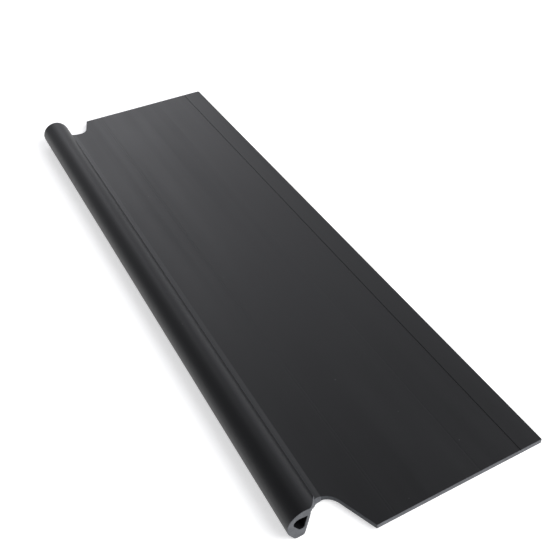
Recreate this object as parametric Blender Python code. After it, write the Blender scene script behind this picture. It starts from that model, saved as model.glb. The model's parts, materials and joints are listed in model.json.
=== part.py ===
"""Rubber door sweep: hollow bead, folded neck, notched flap and scored wiping lip.

The real strip is one extrusion.  It is split here into the zones that bend against each
other: the bead with its neck, the hinge web at the crease, the flap, the thin web under the
score line, and the wiping lip beyond it.

The cross-section is drawn in its own frame: u runs from the crease to the free edge and v
runs up from the flap's upper face, with the crease at u = v = 0.  The length runs along Y.
One empty carries the whole strip and lays it on the ground, so that the bead's toe and the
free edge both touch z = 0 and the origin is the middle of the footprint.
"""
import math

import bmesh
import bpy
from mathutils import Matrix, Vector

# Driving dimensions, in metres.
FLAP_LENGTH = 0.457         # along the door
FLAP_WIDTH = 0.127          # crease to free edge
SHEET = 0.0032              # thickness of the neck and the flap
GAP = 0.0003                # between neighbouring zones

BEAD_REACH = 0.0220         # crease to the bead's outermost side
BEAD_RISE = 0.0149          # bead's top above the flap's upper face
BEAD_DROP = 0.0060          # bead's toe below the flap's upper face
DOME_RADIUS = 0.0104        # outside of the bead's upper part
TOE_RADIUS = 0.0040         # outside of the bead's rounded toe
TOE_INSET = 0.0028          # toe's outer side set in from the dome's
ROOT_ANGLE = math.radians(62)  # where the inner wall meets the neck, round the dome

HOLLOW_RADIUS = 0.0033      # hollow's upper lobe
HOLLOW_TOE_RADIUS = 0.0019  # hollow's lower lobe
HOLLOW_TIP_RADIUS = 0.0004  # hollow's pointed corner
TIP_DROP = 0.0022           # hollow's corner below the neck's root, along the inner wall
OUTER_WALL = 0.0037         # bead's wall on its outer side
TOP_WALL = 0.0050           # bead's wall at the top
TOE_WALL = 0.0064           # bead's wall at the toe
INNER_WALL = 0.0018         # bead's thin wall that faces the flap

HINGE_ON_NECK = 0.0045      # hinge web's run up the neck
HINGE_ON_FLAP = 0.0040      # hinge web's run on to the flap
CREASE_RADIUS = 0.0020      # fillet in the crease

NOTCH_WIDTH = 0.0200        # notch's mouth, crease to corner

NEAR_SETBACK = 0.0163       # bead's near end, in from the flap's
NEAR_NOTCH_DEPTH = 0.0279
NEAR_NOTCH_RADIUS = 0.0106  # notch's round floor
NEAR_NOTCH_CENTRE = 0.0015  # crease to the centre of the round floor
NEAR_CREASE_STEP = 0.0004   # cut at the crease, beyond the round floor

FAR_SETBACK = 0.0150
FAR_NOTCH_DEPTH = 0.0177
FAR_NOTCH_RADIUS = 0.0070
FAR_NOTCH_CENTRE = 0.0080
FAR_CREASE_STEP = -0.0012

LIP_WIDTH = 0.0150          # score line to free edge
SCORE_WEB_WIDTH = 0.0024    # thin web under the score line
SCORE_WEB_THICKNESS = 0.0024

ARC_STEP = math.radians(8)      # facet size on round stretches
SHARP_ANGLE = math.radians(30)  # edges turning more than this are shaded crisp
WELD_DISTANCE = 0.00001
OVERRUN = 0.010                 # cutters run this far past the material

# Finish of each zone of the black rubber: grey level and roughness.
BEAD_FINISH = (0.020, 0.45)
HINGE_FINISH = (0.028, 0.50)
FLAP_FINISH = (0.032, 0.50)
SCORE_FINISH = (0.026, 0.55)
LIP_FINISH = (0.030, 0.50)


class Round:
    """A circle that outlines are wrapped around; a radius of 0 is a sharp corner."""

    def __init__(self, u, v, radius=0.0):
        self.centre = Vector((u, v))
        self.radius = radius

    def point(self, angle):
        return self.centre + self.radius * direction(angle)


def direction(angle):
    return Vector((math.cos(angle), math.sin(angle)))


def tangent_normal(first, second):
    """Angle of the outward normal of the straight run from one round to the next."""
    run = second.centre - first.centre
    lean = math.acos((first.radius - second.radius) / run.length)
    return math.atan2(run.y, run.x) - lean


def arc(circle, start, stop):
    """Points from one angle to the other, turning anticlockwise."""
    turn = (stop - start) % math.tau
    steps = max(1, math.ceil(turn / ARC_STEP))
    return [circle.point(start + turn * step / steps) for step in range(steps + 1)]


def wrap(rounds):
    """Closed outline of a belt pulled anticlockwise around a list of rounds."""
    outline = []
    for index, circle in enumerate(rounds):
        before = tangent_normal(rounds[index - 1], circle)
        after = tangent_normal(circle, rounds[(index + 1) % len(rounds)])
        if circle.radius == 0:
            outline.append(circle.centre.copy())
        else:
            outline.extend(arc(circle, before, after))
    return outline


# The bead's rounds.  The neck is a sheet that follows the dome and then runs straight down
# to the crease.
CREASE = Round(0, 0)
DOME = Round(DOME_RADIUS - BEAD_REACH, BEAD_RISE - DOME_RADIUS, DOME_RADIUS)
TOE = Round(TOE_INSET + TOE_RADIUS - BEAD_REACH, TOE_RADIUS - BEAD_DROP, TOE_RADIUS)
NECK_NORMAL = tangent_normal(CREASE, DOME)
NECK_UP = direction(NECK_NORMAL + math.pi / 2)
NECK_INSIDE = Round(*DOME.centre, DOME_RADIUS - SHEET)
NECK_ROOT = Round(*NECK_INSIDE.point(ROOT_ANGLE))
WALL_NORMAL = tangent_normal(TOE, NECK_ROOT)

# The crease's fillet is concentric with the rounding below it.
CREASE_HALF_ANGLE = (NECK_NORMAL + math.pi / 2) / 2
CREASE_FILLET = Round(CREASE_RADIUS / math.tan(CREASE_HALF_ANGLE), CREASE_RADIUS, CREASE_RADIUS)
CREASE_BACK = Round(*CREASE_FILLET.centre, CREASE_RADIUS + SHEET)

# Joint axes, both in the middle of the sheet.
HINGE_AXIS = Vector((-SHEET / 2 / math.tan(CREASE_HALF_ANGLE), -SHEET / 2))
LIP_AXIS = Vector((FLAP_WIDTH - LIP_WIDTH, -SHEET / 2))


def bead_outline():
    """Dome, toe, thin inner wall, and the neck curling down to the hinge web."""
    outer_normal = tangent_normal(DOME, TOE)
    neck_end = NECK_UP * (HINGE_ON_NECK + GAP / 2)
    outline = arc(DOME, NECK_NORMAL, outer_normal)
    outline += arc(TOE, outer_normal, WALL_NORMAL)
    outline += reversed(arc(NECK_INSIDE, NECK_NORMAL, ROOT_ANGLE))
    outline.append(neck_end - SHEET * direction(NECK_NORMAL))
    outline.append(neck_end)
    return outline


def hollow_outline():
    """Teardrop: upper lobe, lower lobe, and a tip against the thin inner wall."""
    wall_down = direction(WALL_NORMAL - math.pi / 2)
    inset = (INNER_WALL + HOLLOW_TIP_RADIUS) * direction(WALL_NORMAL)
    tip = NECK_ROOT.centre + TIP_DROP * wall_down - inset
    lobe_v = TOE_WALL + HOLLOW_TOE_RADIUS - BEAD_DROP
    wall_u = NECK_ROOT.centre.x + (NECK_ROOT.centre.y - lobe_v) * math.tan(WALL_NORMAL)
    lobe_u = wall_u - (INNER_WALL + HOLLOW_TOE_RADIUS) / math.cos(WALL_NORMAL)
    return wrap([
        Round(tip.x, tip.y, HOLLOW_TIP_RADIUS),
        Round(OUTER_WALL + HOLLOW_RADIUS - BEAD_REACH,
              BEAD_RISE - TOP_WALL - HOLLOW_RADIUS, HOLLOW_RADIUS),
        Round(lobe_u, lobe_v, HOLLOW_TOE_RADIUS),
    ])


def hinge_outline():
    """Bent strip around the crease, from the neck to the flap."""
    flap_end = HINGE_ON_FLAP - GAP / 2
    neck_end = NECK_UP * (HINGE_ON_NECK - GAP / 2)
    neck_side = NECK_NORMAL + math.pi
    flap_side = 1.5 * math.pi
    outline = [Vector((flap_end, -SHEET)), Vector((flap_end, 0))]
    outline += reversed(arc(CREASE_FILLET, neck_side, flap_side))
    outline.append(neck_end)
    outline.append(neck_end - SHEET * direction(NECK_NORMAL))
    outline += arc(CREASE_BACK, neck_side, flap_side)
    return outline


def slab_outline(start, stop, thickness):
    """Rectangle from one u to another, centred in the sheet's thickness."""
    low = -(SHEET + thickness) / 2
    high = -(SHEET - thickness) / 2
    corners = ((start, low), (stop, low), (stop, high), (start, high))
    return [Vector(corner) for corner in corners]


def end_cut_outline(setback, depth, radius, centre, crease_step):
    """What is cut off one end, seen from above, with the flap's end at 0 and inward up."""
    mouth = Round(NOTCH_WIDTH, 0)
    floor = Round(centre, depth - radius, radius)
    at_crease = Round(0, depth + crease_step)
    wall_normal = tangent_normal(mouth, floor)
    wall_run = direction(wall_normal + math.pi / 2)
    past_bead = -(BEAD_REACH + OVERRUN)
    outline = [mouth.centre - wall_run * (OVERRUN / wall_run.y)]
    outline += arc(floor, wall_normal, tangent_normal(floor, at_crease))
    outline.append(at_crease.centre)
    outline.append(Vector((NECK_ROOT.centre.x, setback)))
    outline.append(Vector((past_bead, setback)))
    outline.append(Vector((past_bead, -OVERRUN)))
    return outline


def prism(name, loops, depth, turn, collection):
    """Solid of the given depth from flat loops, turned by a matrix, as one welded mesh."""
    curve = bpy.data.curves.new(name, "CURVE")
    curve.dimensions = "2D"
    curve.fill_mode = "BOTH"
    curve.extrude = depth / 2
    for loop in loops:
        spline = curve.splines.new("POLY")
        spline.points.add(len(loop) - 1)
        for point, place in zip(spline.points, loop):
            point.co = (place.x, place.y, 0, 1)
        spline.use_cyclic_u = True
    flat = bpy.data.objects.new(name + "_outline", curve)
    collection.objects.link(flat)
    graph = bpy.context.evaluated_depsgraph_get()
    mesh = bpy.data.meshes.new_from_object(flat.evaluated_get(graph))
    bpy.data.objects.remove(flat)
    welded = bmesh.new()
    welded.from_mesh(mesh)
    bmesh.ops.remove_doubles(welded, verts=welded.verts, dist=WELD_DISTANCE)
    bmesh.ops.transform(welded, matrix=turn, verts=welded.verts)
    bmesh.ops.recalc_face_normals(welded, faces=welded.faces)
    welded.to_mesh(mesh)
    welded.free()
    mesh.name = name
    solid = bpy.data.objects.new(name, mesh)
    collection.objects.link(solid)
    return solid


def zone(name, loops, finish, axis=Vector((0, 0))):
    """Full-length zone of the strip, with its origin on the given axis."""
    stand_up = Matrix.Rotation(math.pi / 2, 4, "X")
    to_axis = Matrix.Translation((-axis.x, 0, -axis.y))
    solid = prism(name, loops, FLAP_LENGTH, to_axis @ stand_up, parts)
    solid.location = (axis.x, 0, axis.y)
    solid.parent = ground_frame
    solid.data.materials.append(rubber(name, *finish))
    solid.data.shade_smooth()
    solid.data.set_sharp_from_angle(angle=SHARP_ANGLE)
    return solid


def rubber(name, grey, roughness):
    material = bpy.data.materials.new(name + "_rubber")
    material.use_nodes = True
    surface = material.node_tree.nodes["Principled BSDF"]
    surface.inputs["Base Color"].default_value = (grey, grey, grey, 1)
    surface.inputs["Roughness"].default_value = roughness
    surface.inputs["Metallic"].default_value = 0
    return material


def end_cutter(name, end, *cut):
    """Upright prism that cuts one end; end is -1 for the near end and 1 for the far one."""
    outline = end_cut_outline(*cut)
    inward = Matrix.Diagonal((1, -end, 1, 1))
    height = 2 * (BEAD_RISE + BEAD_DROP + OVERRUN)
    cutter = prism(name, [outline], height, inward, cutters)
    cutter.location = (0, end * FLAP_LENGTH / 2, 0)
    cutter.parent = ground_frame
    cutter.hide_render = True
    cutter.display_type = "WIRE"
    return cutter


def cut_ends(solid):
    for cutter in end_cutters:
        cut = solid.modifiers.new(cutter.name, "BOOLEAN")
        cut.operation = "DIFFERENCE"
        cut.solver = "EXACT"
        cut.object = cutter


def make_bead():
    return zone("bead", [bead_outline(), hollow_outline()], BEAD_FINISH)


def make_hinge_web():
    return zone("hinge_web", [hinge_outline()], HINGE_FINISH, HINGE_AXIS)


def make_flap():
    start = HINGE_ON_FLAP + GAP / 2
    stop = FLAP_WIDTH - LIP_WIDTH - SCORE_WEB_WIDTH / 2 - GAP / 2
    return zone("flap", [slab_outline(start, stop, SHEET)], FLAP_FINISH, HINGE_AXIS)


def make_score_web():
    half = (SCORE_WEB_WIDTH - GAP) / 2
    outline = slab_outline(LIP_AXIS.x - half, LIP_AXIS.x + half, SCORE_WEB_THICKNESS)
    return zone("score_web", [outline], SCORE_FINISH, LIP_AXIS)


def make_wiping_lip():
    start = LIP_AXIS.x + SCORE_WEB_WIDTH / 2 + GAP / 2
    return zone("wiping_lip", [slab_outline(start, FLAP_WIDTH, SHEET)], LIP_FINISH, LIP_AXIS)


def lay_on_ground(frame):
    """Turn the section until toe and free edge touch the ground, and centre its footprint."""
    edge = Vector((FLAP_WIDTH, -SHEET))
    reach = edge - TOE.centre
    fall = math.asin(TOE.radius / reach.length) + math.atan2(reach.y, reach.x)
    turn = Matrix.Rotation(-fall, 2)
    left = (turn @ DOME.centre).x - DOME.radius
    right = (turn @ Vector((FLAP_WIDTH, 0))).x
    frame.rotation_euler = (0, fall, 0)
    frame.location = (-(left + right) / 2, 0, -(turn @ edge).y)


for old in list(bpy.data.objects):
    bpy.data.objects.remove(old)

parts = bpy.data.collections.new("door_sweep")
cutters = bpy.data.collections.new("door_sweep_cutters")
bpy.context.scene.collection.children.link(parts)
bpy.context.scene.collection.children.link(cutters)

ground_frame = bpy.data.objects.new("ground_frame", None)
parts.objects.link(ground_frame)
lay_on_ground(ground_frame)

end_cutters = (
    end_cutter("near_end_cut", -1, NEAR_SETBACK, NEAR_NOTCH_DEPTH, NEAR_NOTCH_RADIUS,
               NEAR_NOTCH_CENTRE, NEAR_CREASE_STEP),
    end_cutter("far_end_cut", 1, FAR_SETBACK, FAR_NOTCH_DEPTH, FAR_NOTCH_RADIUS,
               FAR_NOTCH_CENTRE, FAR_CREASE_STEP),
)
for notched in (make_bead(), make_hinge_web(), make_flap()):
    cut_ends(notched)
make_score_web()
make_wiping_lip()
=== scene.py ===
"""Looks of the rubber door sweep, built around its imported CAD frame.

The strip is one extrusion, shown as the five zones that bend against each other.  Each zone
is a loft of its cross-section along the strip.  The section has its own frame: u runs from
the crease to the free edge, v up from the flap's upper face, and the length runs along Y.
Neighbouring zones share the points of the seam between them, so the strip looks whole.
"""
import json
import math

import bmesh
import bpy
from mathutils import Matrix, Vector
from mathutils.geometry import delaunay_2d_cdt


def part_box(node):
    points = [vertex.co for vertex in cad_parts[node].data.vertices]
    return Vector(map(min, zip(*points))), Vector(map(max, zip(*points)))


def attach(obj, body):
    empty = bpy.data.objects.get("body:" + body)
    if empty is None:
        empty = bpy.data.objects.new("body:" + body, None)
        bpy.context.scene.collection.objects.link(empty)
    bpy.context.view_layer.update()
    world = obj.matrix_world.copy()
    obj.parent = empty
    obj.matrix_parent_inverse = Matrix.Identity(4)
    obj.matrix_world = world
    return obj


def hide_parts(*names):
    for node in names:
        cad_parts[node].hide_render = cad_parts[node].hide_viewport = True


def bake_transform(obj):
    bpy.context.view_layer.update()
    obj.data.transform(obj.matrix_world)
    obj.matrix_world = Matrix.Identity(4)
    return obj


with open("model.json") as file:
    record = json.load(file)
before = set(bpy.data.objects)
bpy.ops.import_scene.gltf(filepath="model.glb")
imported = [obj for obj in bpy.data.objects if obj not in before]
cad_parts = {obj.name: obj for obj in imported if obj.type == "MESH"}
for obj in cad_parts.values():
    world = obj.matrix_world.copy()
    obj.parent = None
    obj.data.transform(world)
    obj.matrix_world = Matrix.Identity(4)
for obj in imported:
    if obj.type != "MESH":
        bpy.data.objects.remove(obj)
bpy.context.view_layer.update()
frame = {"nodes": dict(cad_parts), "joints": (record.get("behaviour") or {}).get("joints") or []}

MM = 0.001

# Section shape, as in the CAD, in metres.
BEAD_REACH = 0.0220         # crease to the bead's outermost side
BEAD_RISE = 0.0149          # bead's top above the flap's upper face
BEAD_DROP = 0.0060          # bead's toe below the flap's upper face
DOME_RADIUS = 0.0104        # outside of the bead's upper part
TOE_RADIUS = 0.0040         # outside of the bead's toe, which sets how its sides lean
TOE_INSET = 0.0028          # toe's outer side set in from the dome's
ROOT_ANGLE = math.radians(62)  # where the inner wall meets the neck, round the dome
HOLLOW_RADIUS = 0.0033      # hollow's upper lobe
HOLLOW_TOE_RADIUS = 0.0019  # hollow's lower lobe
HOLLOW_TIP_RADIUS = 0.0004  # hollow's pointed corner
TIP_DROP = 0.0022           # hollow's corner below the neck's root, along the inner wall
OUTER_WALL = 0.0037         # bead's wall on its outer side
TOP_WALL = 0.0050           # at the top
TOE_WALL = 0.0064           # at the toe
INNER_WALL = 0.0018         # and its thin wall that faces the flap
CREASE_RADIUS = 0.0020      # fillet in the crease
HINGE_ON_NECK = 0.0045      # seam on the neck, up from the crease
HINGE_ON_FLAP = 0.0040      # seam on the flap, out from the crease
SCORE_HALF_WIDTH = 0.0012   # seams either side of the score line

# End cuts.  Depths are measured in from the flap's end; the notch's mouth runs from the crease
# out to its width, its round floor is centred that far out, and the cut at the crease is deeper
# than that floor by the crease step.  The corner is the flap's outer one.
NEAR_CUT = {"setback": 0.0163, "width": 0.0200, "depth": 0.0279, "radius": 0.0106,
            "centre": 0.0015, "crease_step": 0.0, "corner": 0.0005}
FAR_CUT = {"setback": 0.0150, "width": 0.0190, "depth": 0.0177, "radius": 0.0062,
           "centre": 0.0084, "crease_step": -0.0009, "corner": 0.0018}
SWEEP_START = -0.0096       # where the bead's straight cut starts to sweep back
SWEEP_STOP = 0.0017         # where it has reached the notch
CUT_LEAN = 0.28             # how much less the underside is cut back, per unit of depth
LEAN_GROWS = (-0.0030, -0.0010)  # u between which that lean begins
LEAN_FADES = (0.0020, 0.0055)    # and between which it goes again
NOTCH_FACE_START = 0.0042        # the notch's darker cut face starts here

# Fine shape that the CAD leaves out.
CUT_BREAK = 0.00018         # broken corner along the cut ends
EDGE_RADIUS = 0.0003        # rounded corners of the free edge
SCORE_DEPTH = 0.00025       # score line, from each face
SCORE_MOUTH = 0.00025       # half width of the score line at the surface
OUTER_TOE_RADIUS = 0.0022   # the bead's bottom corners, with a flat between them
INNER_TOE_RADIUS = 0.0020
DIE_LINES = (               # u, depth and half width of the fine lines left by the die
    (0.0302, 0.00004, 0.00035),
    (0.0318, 0.00004, 0.00035),
    (0.0850, 0.00003, 0.00040),
)
RIPPLE = 0.00012            # height of the flap's slow unevenness
RIPPLE_START = 0.010        # where it begins, out from the crease
RIPPLE_GROWTH = 0.030       # run over which it reaches its height
RIPPLE_ACROSS = 0.021       # metres per radian of its waves, across the strip
RIPPLE_ALONG = 0.083        # along the strip
RIPPLE_SLANT = 0.050        # and across it again, which slants the long waves
RIPPLE_WANDER = 1.3         # radians by which the waves across it wander
RIPPLE_WANDER_ALONG = 0.061
SHOULDER_RISE = 0.00042     # how far the flap's upper face stands up beside the crease
SHOULDER_START = 0.0009     # where that rise begins to fall, and where it has gone
SHOULDER_STOP = 0.0044

# Facets.
ARC_STEP = math.radians(4)
NOTCH_STEP = 0.0007         # between columns beside the notch
NOTCH_END = 0.0200          # u up to which columns stand that close
SHOULDER_STEP = 0.00035     # between columns beside the crease
CORNER_STEP = 0.00025       # between columns at the flap's outer corners
FLAP_STEP = 0.0030          # between columns elsewhere
COLUMN_GAP = 0.00005        # columns closer together than this are one
DIE_COLUMNS = 6             # on each side of a die line, out to twice its half width
SCORE_COLUMNS = 14          # on each side of the score line
ROWS = 56                   # along the strip
SHARP = math.radians(28)    # edges turning more than this are shaded crisp
INSIDE_EDGES = 1            # delaunay_2d_cdt's choice of triangles inside the given edges
SAME_POINT = 0.000001       # millimetres within which it takes two points as one


# ---------------------------------------------------------------- where the frame puts it

joints = {joint["name"]: joint for joint in frame["joints"]}
fold_place = Vector(joints["flap_fold"]["pos_m"])
lip_place = Vector(joints["lip_bend"]["pos_m"])
ALONG_U = (lip_place - fold_place).normalized()
ALONG_V = Vector((-ALONG_U.z, 0, ALONG_U.x))


def spread(node, axis):
    """Lowest and highest place of a CAD node along an axis."""
    places = [vertex.co.dot(axis) for vertex in frame["nodes"][node].data.vertices]
    return min(places), max(places)


flap_under, flap_top = spread("flap", ALONG_V)
SHEET = flap_top - flap_under
NEAR_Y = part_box("flap")[0].y
FAR_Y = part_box("flap")[1].y


def direction(angle):
    """Unit vector of the section's plane."""
    return Vector((math.cos(angle), math.sin(angle)))


class Round:
    """A circle that outlines are wrapped around; a radius of 0 is a sharp corner."""

    def __init__(self, u, v, radius=0.0):
        self.centre = Vector((u, v))
        self.radius = radius

    def point(self, angle):
        return self.centre + self.radius * direction(angle)


def tangent_normal(first, second):
    """Angle of the outward normal of the straight run from one round to the next."""
    run = second.centre - first.centre
    splay = math.acos((first.radius - second.radius) / run.length)
    return math.atan2(run.y, run.x) - splay


def arc(circle, start, stop):
    """Points from one angle to the other, turning anticlockwise."""
    turn = (stop - start) % math.tau
    steps = max(1, math.ceil(turn / ARC_STEP))
    return [circle.point(start + turn * step / steps) for step in range(steps + 1)]


def between(start, stop, step):
    """Evenly spread points on a straight run, without its last point."""
    count = max(1, round((stop - start).length / step))
    return [start.lerp(stop, index / count) for index in range(count)]


def wrap(rounds):
    """Closed outline of a belt pulled anticlockwise around a list of rounds."""
    outline = []
    for index, circle in enumerate(rounds):
        before = tangent_normal(rounds[index - 1], circle)
        after = tangent_normal(circle, rounds[(index + 1) % len(rounds)])
        outline.extend(arc(circle, before, after))
    return outline


CREASE = Round(0, 0)
DOME = Round(DOME_RADIUS - BEAD_REACH, BEAD_RISE - DOME_RADIUS, DOME_RADIUS)
TOE = Round(TOE_INSET + TOE_RADIUS - BEAD_REACH, TOE_RADIUS - BEAD_DROP, TOE_RADIUS)
NECK_NORMAL = tangent_normal(CREASE, DOME)
NECK_UP = direction(NECK_NORMAL + math.pi / 2)
NECK_INSIDE = Round(*DOME.centre, DOME_RADIUS - SHEET)
NECK_ROOT = Round(*NECK_INSIDE.point(ROOT_ANGLE))
WALL_NORMAL = tangent_normal(TOE, NECK_ROOT)
CREASE_HALF_ANGLE = (NECK_NORMAL + math.pi / 2) / 2
CREASE_FILLET = Round(CREASE_RADIUS / math.tan(CREASE_HALF_ANGLE), CREASE_RADIUS, CREASE_RADIUS)
CREASE_BACK = Round(*CREASE_FILLET.centre, CREASE_RADIUS + SHEET)
NECK_SEAM = NECK_UP * HINGE_ON_NECK
ACROSS_NECK = SHEET * direction(NECK_NORMAL)

# The fold's axis runs through the middle of the sheet, which places u = 0.
fold_u = -SHEET / 2 / math.tan(CREASE_HALF_ANGLE)
CREASE_LINE = ALONG_U * (fold_place.dot(ALONG_U) - fold_u) + ALONG_V * flap_top
LIP_U = fold_u + (lip_place - fold_place).length
FREE_U = spread("wiping_lip", ALONG_U)[1] - CREASE_LINE.dot(ALONG_U)


def ripple(u, y):
    """Slow unevenness of the flap: none at the crease, and never below its own level."""
    growth = min(1.0, max(0.0, (u - RIPPLE_START) / RIPPLE_GROWTH))
    wander = RIPPLE_WANDER * math.sin(y / RIPPLE_WANDER_ALONG)
    wave = math.sin(u / RIPPLE_ACROSS + wander) * math.sin(y / RIPPLE_ALONG + u / RIPPLE_SLANT)
    return RIPPLE * growth * (1 + wave) / 2


def ease(value, start, stop):
    """0 before start, 1 after stop, and smooth between them."""
    share = min(1.0, max(0.0, (value - start) / (stop - start)))
    return share ** 2 * (3 - 2 * share)


def shoulder(u):
    """Rise of the flap's upper face beside the crease."""
    return SHOULDER_RISE * (1 - ease(u, SHOULDER_START, SHOULDER_STOP))


def place(u, v, y):
    """A point of the section, y metres along the strip, in the frame."""
    return CREASE_LINE + ALONG_U * u + ALONG_V * (v + ripple(u, y)) + Vector((0, y, 0))


# ---------------------------------------------------------------- the cut ends

class EndCut:
    """How far in from the flap's end the strip is cut, at each u."""

    def __init__(self, setback, width, depth, radius, centre, crease_step, corner):
        self.setback = setback
        self.width = width
        self.floor = Round(centre, depth - radius, radius)
        self.crease = Round(SWEEP_STOP, depth + crease_step)
        self.corner = Round(FREE_U - corner, corner, corner)
        wall = tangent_normal(Round(width, 0), self.floor)
        self.wall_top = self.floor.point(wall)
        self.floor_end = self.floor.point(tangent_normal(self.floor, self.crease))

    def inward(self, u):
        """Outer corner, straight end, notch's wall, round floor, crease, then the sweep."""
        if u >= self.corner.centre.x:
            side = u - self.corner.centre.x
            return self.corner.radius - math.sqrt(max(0.0, self.corner.radius ** 2 - side ** 2))
        if u >= self.width:
            return 0.0
        if u >= self.wall_top.x:
            return self.wall_top.y * (self.width - u) / (self.width - self.wall_top.x)
        if u >= self.floor_end.x:
            side = u - self.floor.centre.x
            return self.floor.centre.y + math.sqrt(self.floor.radius ** 2 - side ** 2)
        turn = self.crease.centre
        if u >= turn.x:
            return turn.lerp(self.floor_end, (u - turn.x) / (self.floor_end.x - turn.x)).y
        return self.setback + (turn.y - self.setback) * ease(u, SWEEP_START, SWEEP_STOP)


NEAR = EndCut(**NEAR_CUT)
FAR = EndCut(**FAR_CUT)


def cut_face(cut, u):
    """Material slot of a cut face: 1 for a sawn end, 2 for the notch, whose cut face is darker.
    """
    return 2 if NOTCH_FACE_START < u < cut.width else 1


def lean(u, v):
    """How much less the underside is cut back than the skin, beside the crease."""
    return CUT_LEAN * max(0.0, -v) * ease(u, *LEAN_GROWS) * (1 - ease(u, *LEAN_FADES))


def near_y(u, v):
    """Where the strip starts, at the end nearest the camera."""
    return NEAR_Y + NEAR.inward(u) - lean(u, v)


def far_y(u, v):
    """Where it stops."""
    return FAR_Y - FAR.inward(u) + lean(u, v)


# ---------------------------------------------------------------- sections and lofts

class Section:
    """Closed rings of one zone, and the faces that close its two ends.

    seams holds the first ring's corners that lie on a seam with a neighbouring zone.
    """

    def __init__(self, rings, seams=()):
        self.rings = rings
        self.seams = set(seams)
        self.rims = [self.inset(ring, index == 0) for index, ring in enumerate(rings)]

    def inset(self, ring, outer):
        """The ring moved into the material by the width of the broken corner."""
        moved = []
        for index, point in enumerate(ring):
            before = side_normal(ring[index - 1], point)
            after = side_normal(point, ring[(index + 1) % len(ring)])
            # A seam's corners move along the seam, so that the neighbours still meet.
            if outer and index in self.seams:
                seam_after = (index + 1) % len(ring) in self.seams
                before = after = before if seam_after else after
            corner = (before + after) / (1 + before.dot(after))
            moved.append(point - corner * CUT_BREAK)
        return moved


def side_normal(start, stop):
    """Unit normal to the right of a run, which is outwards on an anticlockwise ring."""
    run = (stop - start).normalized()
    return Vector((run.y, -run.x))


class StripSection(Section):
    """A sheet whose upper and lower points pair up, so that its ends are closed by quads.

    Its first pair lies on a seam, and so does its last, unless that is the free edge.
    """

    def __init__(self, upper, lower, free_edge=False):
        self.pairs = len(upper)
        seams = [0, 2 * self.pairs - 1]
        if not free_edge:
            seams += [self.pairs - 1, self.pairs]
        super().__init__([list(lower) + list(reversed(upper))], seams)

    def cap(self):
        """Points of a closed end, and its faces as places in that list."""
        rim = self.rims[0]
        last = len(rim) - 1
        faces = [(low, low + 1, last - low - 1, last - low) for low in range(self.pairs - 1)]
        return rim, faces


class HollowSection(Section):
    """An outline with a hole in it, whose ends are closed by triangles.

    chord joins two corners of the outline, and no triangle crosses it.
    """

    def __init__(self, rings, seams, chord):
        super().__init__(rings, seams)
        self.chord = chord

    def cap(self):
        """Points of a closed end, and its faces as places in that list."""
        points = [point for rim in self.rims for point in rim]
        edges = [self.chord]
        first = 0
        for rim in self.rims:
            count = len(rim)
            edges += [(first + index, first + (index + 1) % count) for index in range(count)]
            first += count
        flat = [point / MM for point in points]
        made, _, triangles, sources, _, _ = delaunay_2d_cdt(
            flat, edges, [], INSIDE_EDGES, SAME_POINT)
        origin = [source[0] for source in sources]
        faces = []
        for triangle in triangles:
            middle = sum((made[corner] for corner in triangle), Vector((0, 0))) / 3 * MM
            if not inside(middle, self.rims[1]):
                faces.append(tuple(origin[corner] for corner in triangle))
        return points, faces


def inside(point, ring):
    """Whether a point lies inside a closed ring."""
    crossings = 0
    for index, start in enumerate(ring):
        stop = ring[index - 1]
        if (start.y > point.y) != (stop.y > point.y):
            reach = (point.y - start.y) / (stop.y - start.y)
            crossings += start.x + reach * (stop.x - start.x) > point.x
    return crossings % 2 == 1


def loft(name, section, materials):
    """Closed mesh of a section run along the strip, with cut ends."""
    mesh = bmesh.new()
    rows = []
    for row in range(ROWS + 1):
        share = row / ROWS
        verts = []
        for ring in section.rings:
            line = []
            for u, v in ring:
                start = near_y(u, v) + CUT_BREAK
                stop = far_y(u, v) - CUT_BREAK
                line.append(mesh.verts.new(place(u, v, start + (stop - start) * share)))
            verts.append(line)
        rows.append(verts)
    for lower, upper in zip(rows, rows[1:]):
        for low, high in zip(lower, upper):
            for index in range(len(low)):
                after = (index + 1) % len(low)
                mesh.faces.new((low[index], low[after], high[after], high[index]))
    points, cap_faces = section.cap()
    for row, end_y, cut in ((rows[0], near_y, NEAR), (rows[-1], far_y, FAR)):
        cap = [mesh.verts.new(place(u, v, end_y(u, v))) for u, v in points]
        for face in cap_faces:
            made = mesh.faces.new([cap[corner] for corner in face])
            middle = sum(points[corner].x for corner in face) / len(face)
            made.material_index = cut_face(cut, middle)
        first = 0
        for ring in row:
            for index in range(len(ring)):
                after = (index + 1) % len(ring)
                made = mesh.faces.new(
                    (ring[index], ring[after], cap[first + after], cap[first + index]))
                middle = (points[first + index].x + points[first + after].x) / 2
                made.material_index = cut_face(cut, middle)
            first += len(ring)
    bmesh.ops.recalc_face_normals(mesh, faces=mesh.faces)
    data = bpy.data.meshes.new(name)
    mesh.to_mesh(data)
    mesh.free()
    for material in materials:
        data.materials.append(material)
    data.shade_smooth()
    data.set_sharp_from_angle(angle=SHARP)
    piece = bpy.data.objects.new(name, data)
    bpy.context.scene.collection.objects.link(piece)
    return piece


# ---------------------------------------------------------------- the five zones

def floor_round(on_side, normal, radius):
    """Round that touches a straight side of the section and the floor that the strip lies on."""
    # Its centre lies a radius in from each of them, which gives two linear equations.
    side = direction(normal)
    reach = side.dot(on_side) - radius
    height = radius - CREASE_LINE.z
    scale = side.x * ALONG_V.z - side.y * ALONG_U.z
    return Round((reach * ALONG_V.z - side.y * height) / scale,
                 (side.x * height - reach * ALONG_U.z) / scale, radius)


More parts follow.
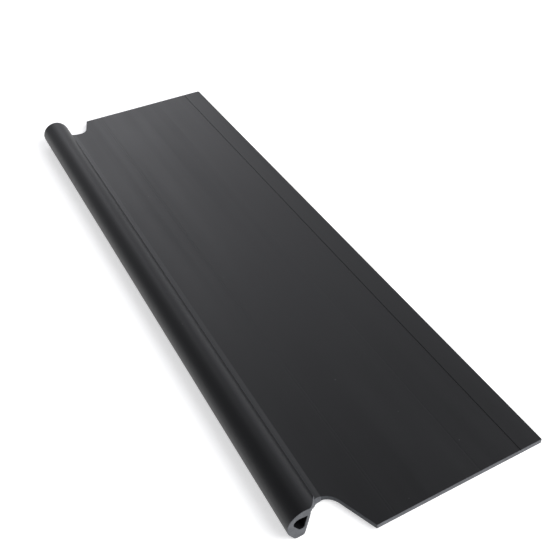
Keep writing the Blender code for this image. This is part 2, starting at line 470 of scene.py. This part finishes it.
def bead_section():
    """Over the dome, down to the toe, up the inner wall and back along the neck's two faces."""
    outer_normal = tangent_normal(DOME, TOE)
    above_root = math.acos((NECK_ROOT.centre.x - DOME.centre.x) / DOME.radius)
    ring = arc(DOME, NECK_NORMAL, above_root)
    dome_kink = len(ring) - 1
    ring += arc(DOME, above_root, outer_normal)[1:]
    outer_toe = floor_round(TOE.point(outer_normal), outer_normal, OUTER_TOE_RADIUS)
    inner_toe = floor_round(NECK_ROOT.centre, WALL_NORMAL, INNER_TOE_RADIUS)
    flat_normal = tangent_normal(outer_toe, inner_toe)
    ring += between(ring.pop(), outer_toe.point(outer_normal), NOTCH_STEP)
    ring += arc(outer_toe, outer_normal, flat_normal)
    ring += between(ring.pop(), inner_toe.point(flat_normal), NOTCH_STEP)
    ring += arc(inner_toe, flat_normal, WALL_NORMAL)
    ring += between(ring.pop(), NECK_ROOT.centre, NOTCH_STEP)
    root = len(ring)
    ring += reversed(arc(NECK_INSIDE, NECK_NORMAL, ROOT_ANGLE))
    ring += between(ring.pop(), NECK_SEAM - ACROSS_NECK, NOTCH_STEP)
    seams = (len(ring), len(ring) + 1)
    ring.append(NECK_SEAM - ACROSS_NECK)
    ring.append(NECK_SEAM)
    ring += between(NECK_SEAM, DOME.point(NECK_NORMAL), NOTCH_STEP)[1:]
    return HollowSection([ring, list(reversed(hollow_ring()))], seams, (dome_kink, root))


def hollow_ring():
    """Teardrop: upper lobe, lower lobe, and a tip against the thin inner wall."""
    wall_down = direction(WALL_NORMAL - math.pi / 2)
    into_wall = (INNER_WALL + HOLLOW_TIP_RADIUS) * direction(WALL_NORMAL)
    tip = NECK_ROOT.centre + TIP_DROP * wall_down - into_wall
    lobe_v = TOE_WALL + HOLLOW_TOE_RADIUS - BEAD_DROP
    wall_u = NECK_ROOT.centre.x + (NECK_ROOT.centre.y - lobe_v) * math.tan(WALL_NORMAL)
    lobe_u = wall_u - (INNER_WALL + HOLLOW_TOE_RADIUS) / math.cos(WALL_NORMAL)
    upper_lobe = Round(OUTER_WALL + HOLLOW_RADIUS - BEAD_REACH,
                       BEAD_RISE - TOP_WALL - HOLLOW_RADIUS, HOLLOW_RADIUS)
    return wrap([Round(tip.x, tip.y, HOLLOW_TIP_RADIUS), upper_lobe,
                 Round(lobe_u, lobe_v, HOLLOW_TOE_RADIUS)])


def hinge_section():
    """Bent strip around the crease; its two sides pair up by angle."""
    neck_side = NECK_NORMAL + math.pi
    flap_side = 1.5 * math.pi
    fillet = arc(CREASE_FILLET, neck_side, flap_side)
    for index, point in enumerate(fillet):
        point.y += shoulder(point.x) * index / (len(fillet) - 1)
    back = arc(CREASE_BACK, neck_side, flap_side)
    upper = between(NECK_SEAM, fillet[0], NOTCH_STEP) + fillet
    lower = between(NECK_SEAM - ACROSS_NECK, back[0], NOTCH_STEP) + back
    seam = Vector((HINGE_ON_FLAP, 0))
    down = Vector((0, -SHEET))
    run = between(back[-1], seam + down, SHOULDER_STEP)[1:] + [seam + down]
    upper += [Vector((point.x, shoulder(point.x))) for point in run]
    lower += run
    return StripSection(upper, lower)


def flap_columns(start, stop):
    """Places across the flap, closer together beside the notches and at the die lines.

    The kept ones stand even where another column is close.
    """
    columns = {start, stop}
    kept = {stop}
    for cut in (NEAR, FAR):
        columns |= {cut.wall_top.x, cut.width}
        kept.add(cut.width)
    count = math.ceil((NOTCH_END - start) / NOTCH_STEP)
    columns |= {start + (NOTCH_END - start) * index / count for index in range(count)}
    count = math.ceil((stop - NOTCH_END) / FLAP_STEP)
    columns |= {NOTCH_END + (stop - NOTCH_END) * index / count for index in range(count)}
    for middle, _, half_width in DIE_LINES:
        reach = 2 * half_width
        columns |= {middle + reach * step / DIE_COLUMNS
                    for step in range(-DIE_COLUMNS, DIE_COLUMNS + 1)}
    apart = []
    for u in sorted(u for u in columns if start <= u <= stop):
        if not apart or u - apart[-1] > COLUMN_GAP or u in kept:
            apart.append(u)
    return apart


def flap_section():
    """Flat sheet with the shoulder beside the crease and the die lines in its upper face."""
    start = HINGE_ON_FLAP
    stop = LIP_U - SCORE_HALF_WIDTH
    upper = []
    lower = []
    for u in flap_columns(start, stop):
        relief = sum(depth * math.exp(-((u - middle) / half_width) ** 2)
                     for middle, depth, half_width in DIE_LINES)
        upper.append(Vector((u, shoulder(u) - relief)))
        lower.append(Vector((u, -SHEET)))
    return StripSection(upper, lower)


def score_section():
    """Web between two shallow rounded grooves, one in each face."""
    upper = []
    lower = []
    for step in range(-SCORE_COLUMNS, SCORE_COLUMNS + 1):
        side = SCORE_HALF_WIDTH * step / SCORE_COLUMNS
        share = min(1.0, abs(side) / SCORE_MOUTH)
        depth = SCORE_DEPTH * max(0.0, math.cos(share * math.pi / 2))
        upper.append(Vector((LIP_U + side, -depth)))
        lower.append(Vector((LIP_U + side, depth - SHEET)))
    return StripSection(upper, lower)


def lip_section():
    """Flat sheet from the score line to the rounded free edge."""
    start = LIP_U + SCORE_HALF_WIDTH
    stop = FREE_U - EDGE_RADIUS
    corner_start = Vector((FREE_U - FAR.corner.radius, 0))
    flat = between(Vector((start, 0)), corner_start, FLAP_STEP)
    flat += between(corner_start, Vector((stop, 0)), CORNER_STEP)
    corner = arc(Round(stop, -EDGE_RADIUS, EDGE_RADIUS), 0, math.pi / 2)
    upper = flat + list(reversed(corner))
    lower = [Vector((point.x, -SHEET - point.y)) for point in upper]
    return StripSection(upper, lower, free_edge=True)


# ---------------------------------------------------------------- materials

# Patterns, as repeats per metre across and along the strip.
STREAKS = (900, 5)
BANDS = (120, 2.5)
BLOOM = (28, 12)
GRAIN = (3500, 3500)
DUST_CELLS = (110, 110)
CUT_MARKS = (2600, 300)
CUT_CLOUD = (200, 200)
NOISE_SPAN = (0.35, 0.65)   # most of a noise's values lie in here

ROUGHNESS_SWING = 0.045     # either side of a skin's roughness
CUT_ROUGHNESS = 0.7
STREAK_RELIEF = 0.00004
GRAIN_RELIEF = 0.00003
CUT_RELIEF = 0.00008
SKIN_BUMP = 0.5
CUT_BUMP = 0.6
DUST_COLOUR = (0.16, 0.16, 0.165)
DUST_EDGE = (0.020, 0.045)  # a speck fades between these distances, in cells
DUST_PICK = (0.80, 0.82)    # cells whose random number is above this hold a speck
DUST_COVER = 0.5


def colour_sockets(sockets):
    return [socket for socket in sockets if socket.type == "RGBA"]


class Nodes:
    """Short names for making and joining shader nodes."""

    def __init__(self, name):
        self.material = bpy.data.materials.new(name)
        self.material.use_nodes = True
        self.tree = self.material.node_tree
        self.surface = self.tree.nodes["Principled BSDF"]

    def add(self, kind, **settings):
        node = self.tree.nodes.new(kind)
        for key, value in settings.items():
            setattr(node, key, value)
        return node

    def join(self, output, socket):
        self.tree.links.new(output, socket)

    def stretched(self, across, along):
        """Object coordinates, scaled across and along the strip."""
        place_node = self.add("ShaderNodeTexCoord")
        mapping = self.add("ShaderNodeMapping")
        mapping.inputs["Scale"].default_value = (across, along, across)
        self.join(place_node.outputs["Object"], mapping.inputs["Vector"])
        return mapping.outputs["Vector"]

    def noise(self, vector, detail):
        node = self.add("ShaderNodeTexNoise")
        node.inputs["Scale"].default_value = 1.0
        node.inputs["Detail"].default_value = detail
        self.join(vector, node.inputs["Vector"])
        return node.outputs["Fac"]

    def remap(self, value, low, high, to_low, to_high):
        node = self.add("ShaderNodeMapRange")
        self.join(value, node.inputs["Value"])
        for key, number in (("From Min", low), ("From Max", high),
                            ("To Min", to_low), ("To Max", to_high)):
            node.inputs[key].default_value = number
        return node.outputs["Result"]

    def math(self, operation, first, second):
        node = self.add("ShaderNodeMath", operation=operation)
        for socket, value in zip(node.inputs, (first, second)):
            if isinstance(value, (int, float)):
                socket.default_value = value
            else:
                self.join(value, socket)
        return node.outputs["Value"]

    def weighted(self, first, share, second):
        """Share of the first value, and the rest of the second."""
        return self.math("ADD", self.math("MULTIPLY", first, share),
                         self.math("MULTIPLY", second, 1 - share))

    def blend_colours(self, share, first, second):
        node = self.add("ShaderNodeMix", data_type="RGBA")
        self.join(share, node.inputs["Factor"])
        for socket, value in zip(colour_sockets(node.inputs), (first, second)):
            if isinstance(value, tuple):
                socket.default_value = (*value, 1)
            else:
                self.join(value, socket)
        return colour_sockets(node.outputs)[0]

    def bump(self, height, distance, strength, normal=None):
        node = self.add("ShaderNodeBump")
        node.inputs["Distance"].default_value = distance
        node.inputs["Strength"].default_value = strength
        self.join(height, node.inputs["Height"])
        if normal is not None:
            self.join(normal, node.inputs["Normal"])
        return node.outputs["Normal"]


def skin_material(name, dark, light, roughness, gloss):
    """Extruded rubber: streaks along the strip, a faint bloom, a fine grain and dust specks."""
    nodes = Nodes(name)
    streaks = nodes.noise(nodes.stretched(*STREAKS), detail=4)
    bands = nodes.noise(nodes.stretched(*BANDS), detail=2)
    bloom = nodes.noise(nodes.stretched(*BLOOM), detail=3)
    grain = nodes.noise(nodes.stretched(*GRAIN), detail=2)
    tone = nodes.weighted(bands, 0.5, bloom)
    colour = nodes.blend_colours(nodes.remap(tone, *NOISE_SPAN, 0, 1), dark, light)
    cells = nodes.add("ShaderNodeTexVoronoi", voronoi_dimensions="3D")
    cells.inputs["Scale"].default_value = 1.0
    nodes.join(nodes.stretched(*DUST_CELLS), cells.inputs["Vector"])
    pick = nodes.add("ShaderNodeSeparateColor")
    nodes.join(cells.outputs["Color"], pick.inputs["Color"])
    near = nodes.remap(cells.outputs["Distance"], *DUST_EDGE, 1, 0)
    rare = nodes.remap(pick.outputs["Red"], *DUST_PICK, 0, DUST_COVER)
    colour = nodes.blend_colours(nodes.math("MULTIPLY", near, rare), colour, DUST_COLOUR)
    nodes.join(colour, nodes.surface.inputs["Base Color"])
    uneven = nodes.weighted(bands, 0.6, bloom)
    rough = nodes.remap(uneven, *NOISE_SPAN, roughness - ROUGHNESS_SWING,
                        roughness + ROUGHNESS_SWING)
    nodes.join(rough, nodes.surface.inputs["Roughness"])
    lines = nodes.bump(streaks, STREAK_RELIEF, SKIN_BUMP)
    nodes.join(nodes.bump(grain, GRAIN_RELIEF, SKIN_BUMP, lines), nodes.surface.inputs["Normal"])
    nodes.surface.inputs["Specular IOR Level"].default_value = gloss
    return nodes.material


def cut_material(name, dark, light):
    """Knife-cut rubber: paler, matt, with fine marks across the sheet."""
    nodes = Nodes(name)
    marks = nodes.noise(nodes.stretched(*CUT_MARKS), detail=3)
    cloud = nodes.noise(nodes.stretched(*CUT_CLOUD), detail=3)
    tone = nodes.weighted(marks, 0.5, cloud)
    colour = nodes.blend_colours(nodes.remap(tone, *NOISE_SPAN, 0, 1), dark, light)
    nodes.join(colour, nodes.surface.inputs["Base Color"])
    nodes.surface.inputs["Roughness"].default_value = CUT_ROUGHNESS
    nodes.join(nodes.bump(marks, CUT_RELIEF, CUT_BUMP), nodes.surface.inputs["Normal"])
    return nodes.material


SAWN = cut_material("sawn_rubber", (0.062, 0.065, 0.071), (0.106, 0.111, 0.120))
# The notch's cut face is given a darker grey than the sawn ends.
NOTCH_CUT_DARKER = cut_material("notch_cut_rubber_darker", (0.022, 0.025, 0.029), (0.037, 0.041, 0.047))
# Painted sheen: the hinge zone is the same rubber as the flap, painted several times lighter in
# place of the sheen along the crease and the neck.
HINGE_SKIN_PAINTED_SHEEN = skin_material("hinge_rubber_painted_sheen", (0.0150, 0.0155, 0.0165), (0.0200, 0.0206, 0.0220),
                           roughness=0.40, gloss=0.5)
# Painted light: the bead is the same rubber as the flap, painted about twice as light for how
# light falls on it, and given less gloss.
BEAD_SKIN_PAINTED_LIGHT = skin_material("bead_rubber_painted_light", (0.0058, 0.0060, 0.0068), (0.0080, 0.0083, 0.0094),
                          roughness=0.42, gloss=0.32)
FLAP_SKIN = skin_material("flap_rubber", (0.0026, 0.0028, 0.0034), (0.0044, 0.0047, 0.0056),
                          roughness=0.40, gloss=0.5)


# ---------------------------------------------------------------- the pieces

bead = loft("bead_skin", bead_section(), (BEAD_SKIN_PAINTED_LIGHT, SAWN, NOTCH_CUT_DARKER))
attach(bead, "bead_body")
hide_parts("bead")

hinge = loft("hinge_skin", hinge_section(), (HINGE_SKIN_PAINTED_SHEEN, SAWN, NOTCH_CUT_DARKER))
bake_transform(hinge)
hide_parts("hinge_web")

flap = loft("flap_skin", flap_section(), (FLAP_SKIN, SAWN, NOTCH_CUT_DARKER))
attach(flap, "flap_body")
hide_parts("flap")

score = loft("score_skin", score_section(), (FLAP_SKIN, SAWN, NOTCH_CUT_DARKER))
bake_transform(score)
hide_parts("score_web")

lip = loft("lip_skin", lip_section(), (FLAP_SKIN, SAWN, NOTCH_CUT_DARKER))
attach(lip, "lip_body")
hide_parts("wiping_lip")


# ---------------------------------------------------------------- floor, light, camera

FLOOR_SIZE = 12
FLOOR_COLOUR = (0.88, 0.88, 0.88, 1)
FLOOR_ROUGHNESS = 0.9
FLOOR_GLOW = 0.55

# Brightness of the surroundings by how far up a direction points, and by how far to the right:
# the two are multiplied.
SKY_STOPS = ((0.0, 1.0), (0.3, 0.90), (0.5, 0.49), (0.57, 0.62), (0.65, 0.75), (0.72, 0.42),
             (0.8, 0.13), (1.0, 0.07))
SIDE_STOPS = ((-0.6, 0.15), (-0.26, 0.26), (0.0, 0.54), (0.15, 0.86), (0.21, 1.0), (0.26, 0.98),
              (0.31, 0.64), (0.38, 0.43), (0.48, 0.32), (0.6, 0.48), (1.0, 0.40))
SKY_TINT = (1, 1, 1)
SIDE_TINT = (0.985, 0.99, 1.04)
WORLD_LEVEL = 2.75
KEY_PLACE = (0.9, -1.3, 1.6)
KEY_SIZE = (1.3, 1.3)
KEY_POWER = 30

CAMERA_PLACE = (-0.1632, -0.3967, 0.3584)
CAMERA_AZIMUTH = math.radians(27.40)
CAMERA_PITCH = math.radians(41.31)
CAMERA_ROLL = math.radians(-1.64)
CAMERA_LENS = 50.73
SENSOR_WIDTH = 36


def floor():
    """Pale floor, open from below so that the underside can be looked at."""
    bpy.ops.mesh.primitive_plane_add(size=FLOOR_SIZE, location=(0, 0, 0))
    ground = bpy.context.object
    ground.name = "floor"
    nodes = Nodes("floor_white")
    nodes.surface.inputs["Base Color"].default_value = FLOOR_COLOUR
    nodes.surface.inputs["Roughness"].default_value = FLOOR_ROUGHNESS
    nodes.surface.inputs["Emission Color"].default_value = (1, 1, 1, 1)
    nodes.surface.inputs["Emission Strength"].default_value = FLOOR_GLOW
    clear = nodes.add("ShaderNodeBsdfTransparent")
    side = nodes.add("ShaderNodeNewGeometry")
    either = nodes.add("ShaderNodeMixShader")
    nodes.join(side.outputs["Backfacing"], either.inputs[0])
    nodes.join(nodes.surface.outputs["BSDF"], either.inputs[1])
    nodes.join(clear.outputs["BSDF"], either.inputs[2])
    nodes.join(either.outputs["Shader"], nodes.tree.nodes["Material Output"].inputs["Surface"])
    ground.data.materials.append(nodes.material)


def softbox(name, place_at, aim_at, size, power):
    """Rectangular area light."""
    light = bpy.data.lights.new(name, "AREA")
    light.shape = "RECTANGLE"
    light.size, light.size_y = size
    light.energy = power
    box = bpy.data.objects.new(name, light)
    box.location = place_at
    box.rotation_euler = (Vector(aim_at) - Vector(place_at)).to_track_quat("-Z", "Y").to_euler()
    bpy.context.scene.collection.objects.link(box)


def studio():
    """Softbox in front on the right, and surroundings that are brightest low down."""
    world = bpy.data.worlds.new("studio")
    bpy.context.scene.world = world
    world.use_nodes = True
    tree = world.node_tree
    backdrop = tree.nodes["Background"]
    where = tree.nodes.new("ShaderNodeTexCoord")
    split = tree.nodes.new("ShaderNodeSeparateXYZ")
    tree.links.new(where.outputs["Generated"], split.inputs["Vector"])
    shares = []
    for axis, stops, tint in (("Z", SKY_STOPS, SKY_TINT), ("X", SIDE_STOPS, SIDE_TINT)):
        ramp = tree.nodes.new("ShaderNodeValToRGB")
        ramp.color_ramp.interpolation = "LINEAR"
        elements = ramp.color_ramp.elements
        while len(elements) < len(stops):
            elements.new(0.5)
        for element, (share, level) in zip(elements, stops):
            element.position = (share + 1) / 2
            element.color = (level * tint[0], level * tint[1], level * tint[2], 1)
        unit = tree.nodes.new("ShaderNodeMapRange")
        unit.inputs["From Min"].default_value = -1
        tree.links.new(split.outputs[axis], unit.inputs["Value"])
        tree.links.new(unit.outputs["Result"], ramp.inputs["Fac"])
        shares.append(ramp.outputs["Color"])
    both = tree.nodes.new("ShaderNodeMix")
    both.data_type = "RGBA"
    both.blend_type = "MULTIPLY"
    both.inputs["Factor"].default_value = 1
    for share, socket in zip(shares, colour_sockets(both.inputs)):
        tree.links.new(share, socket)
    tree.links.new(colour_sockets(both.outputs)[0], backdrop.inputs["Color"])
    backdrop.inputs["Strength"].default_value = WORLD_LEVEL
    softbox("key", KEY_PLACE, (0, 0, 0), KEY_SIZE, KEY_POWER)


def camera():
    """Camera turned in the section's frame: round Z, down, then rolled about its own axis."""
    section_turn = Matrix((ALONG_U, (0, 1, 0), ALONG_V)).transposed()
    turn = section_turn @ Matrix.Rotation(-CAMERA_AZIMUTH, 3, "Z")
    turn = turn @ Matrix.Rotation(-CAMERA_PITCH, 3, "X") @ Matrix.Rotation(math.pi / 2, 3, "X")
    turn = turn @ Matrix.Rotation(CAMERA_ROLL, 3, "Z")
    data = bpy.data.cameras.new("camera")
    data.sensor_width = SENSOR_WIDTH
    data.lens = CAMERA_LENS
    eye = bpy.data.objects.new("camera", data)
    eye.location = CAMERA_PLACE
    eye.rotation_euler = turn.to_euler()
    bpy.context.scene.collection.objects.link(eye)
    bpy.context.scene.camera = eye


floor()
studio()
camera()
bpy.context.scene.view_settings.view_transform = "Standard"
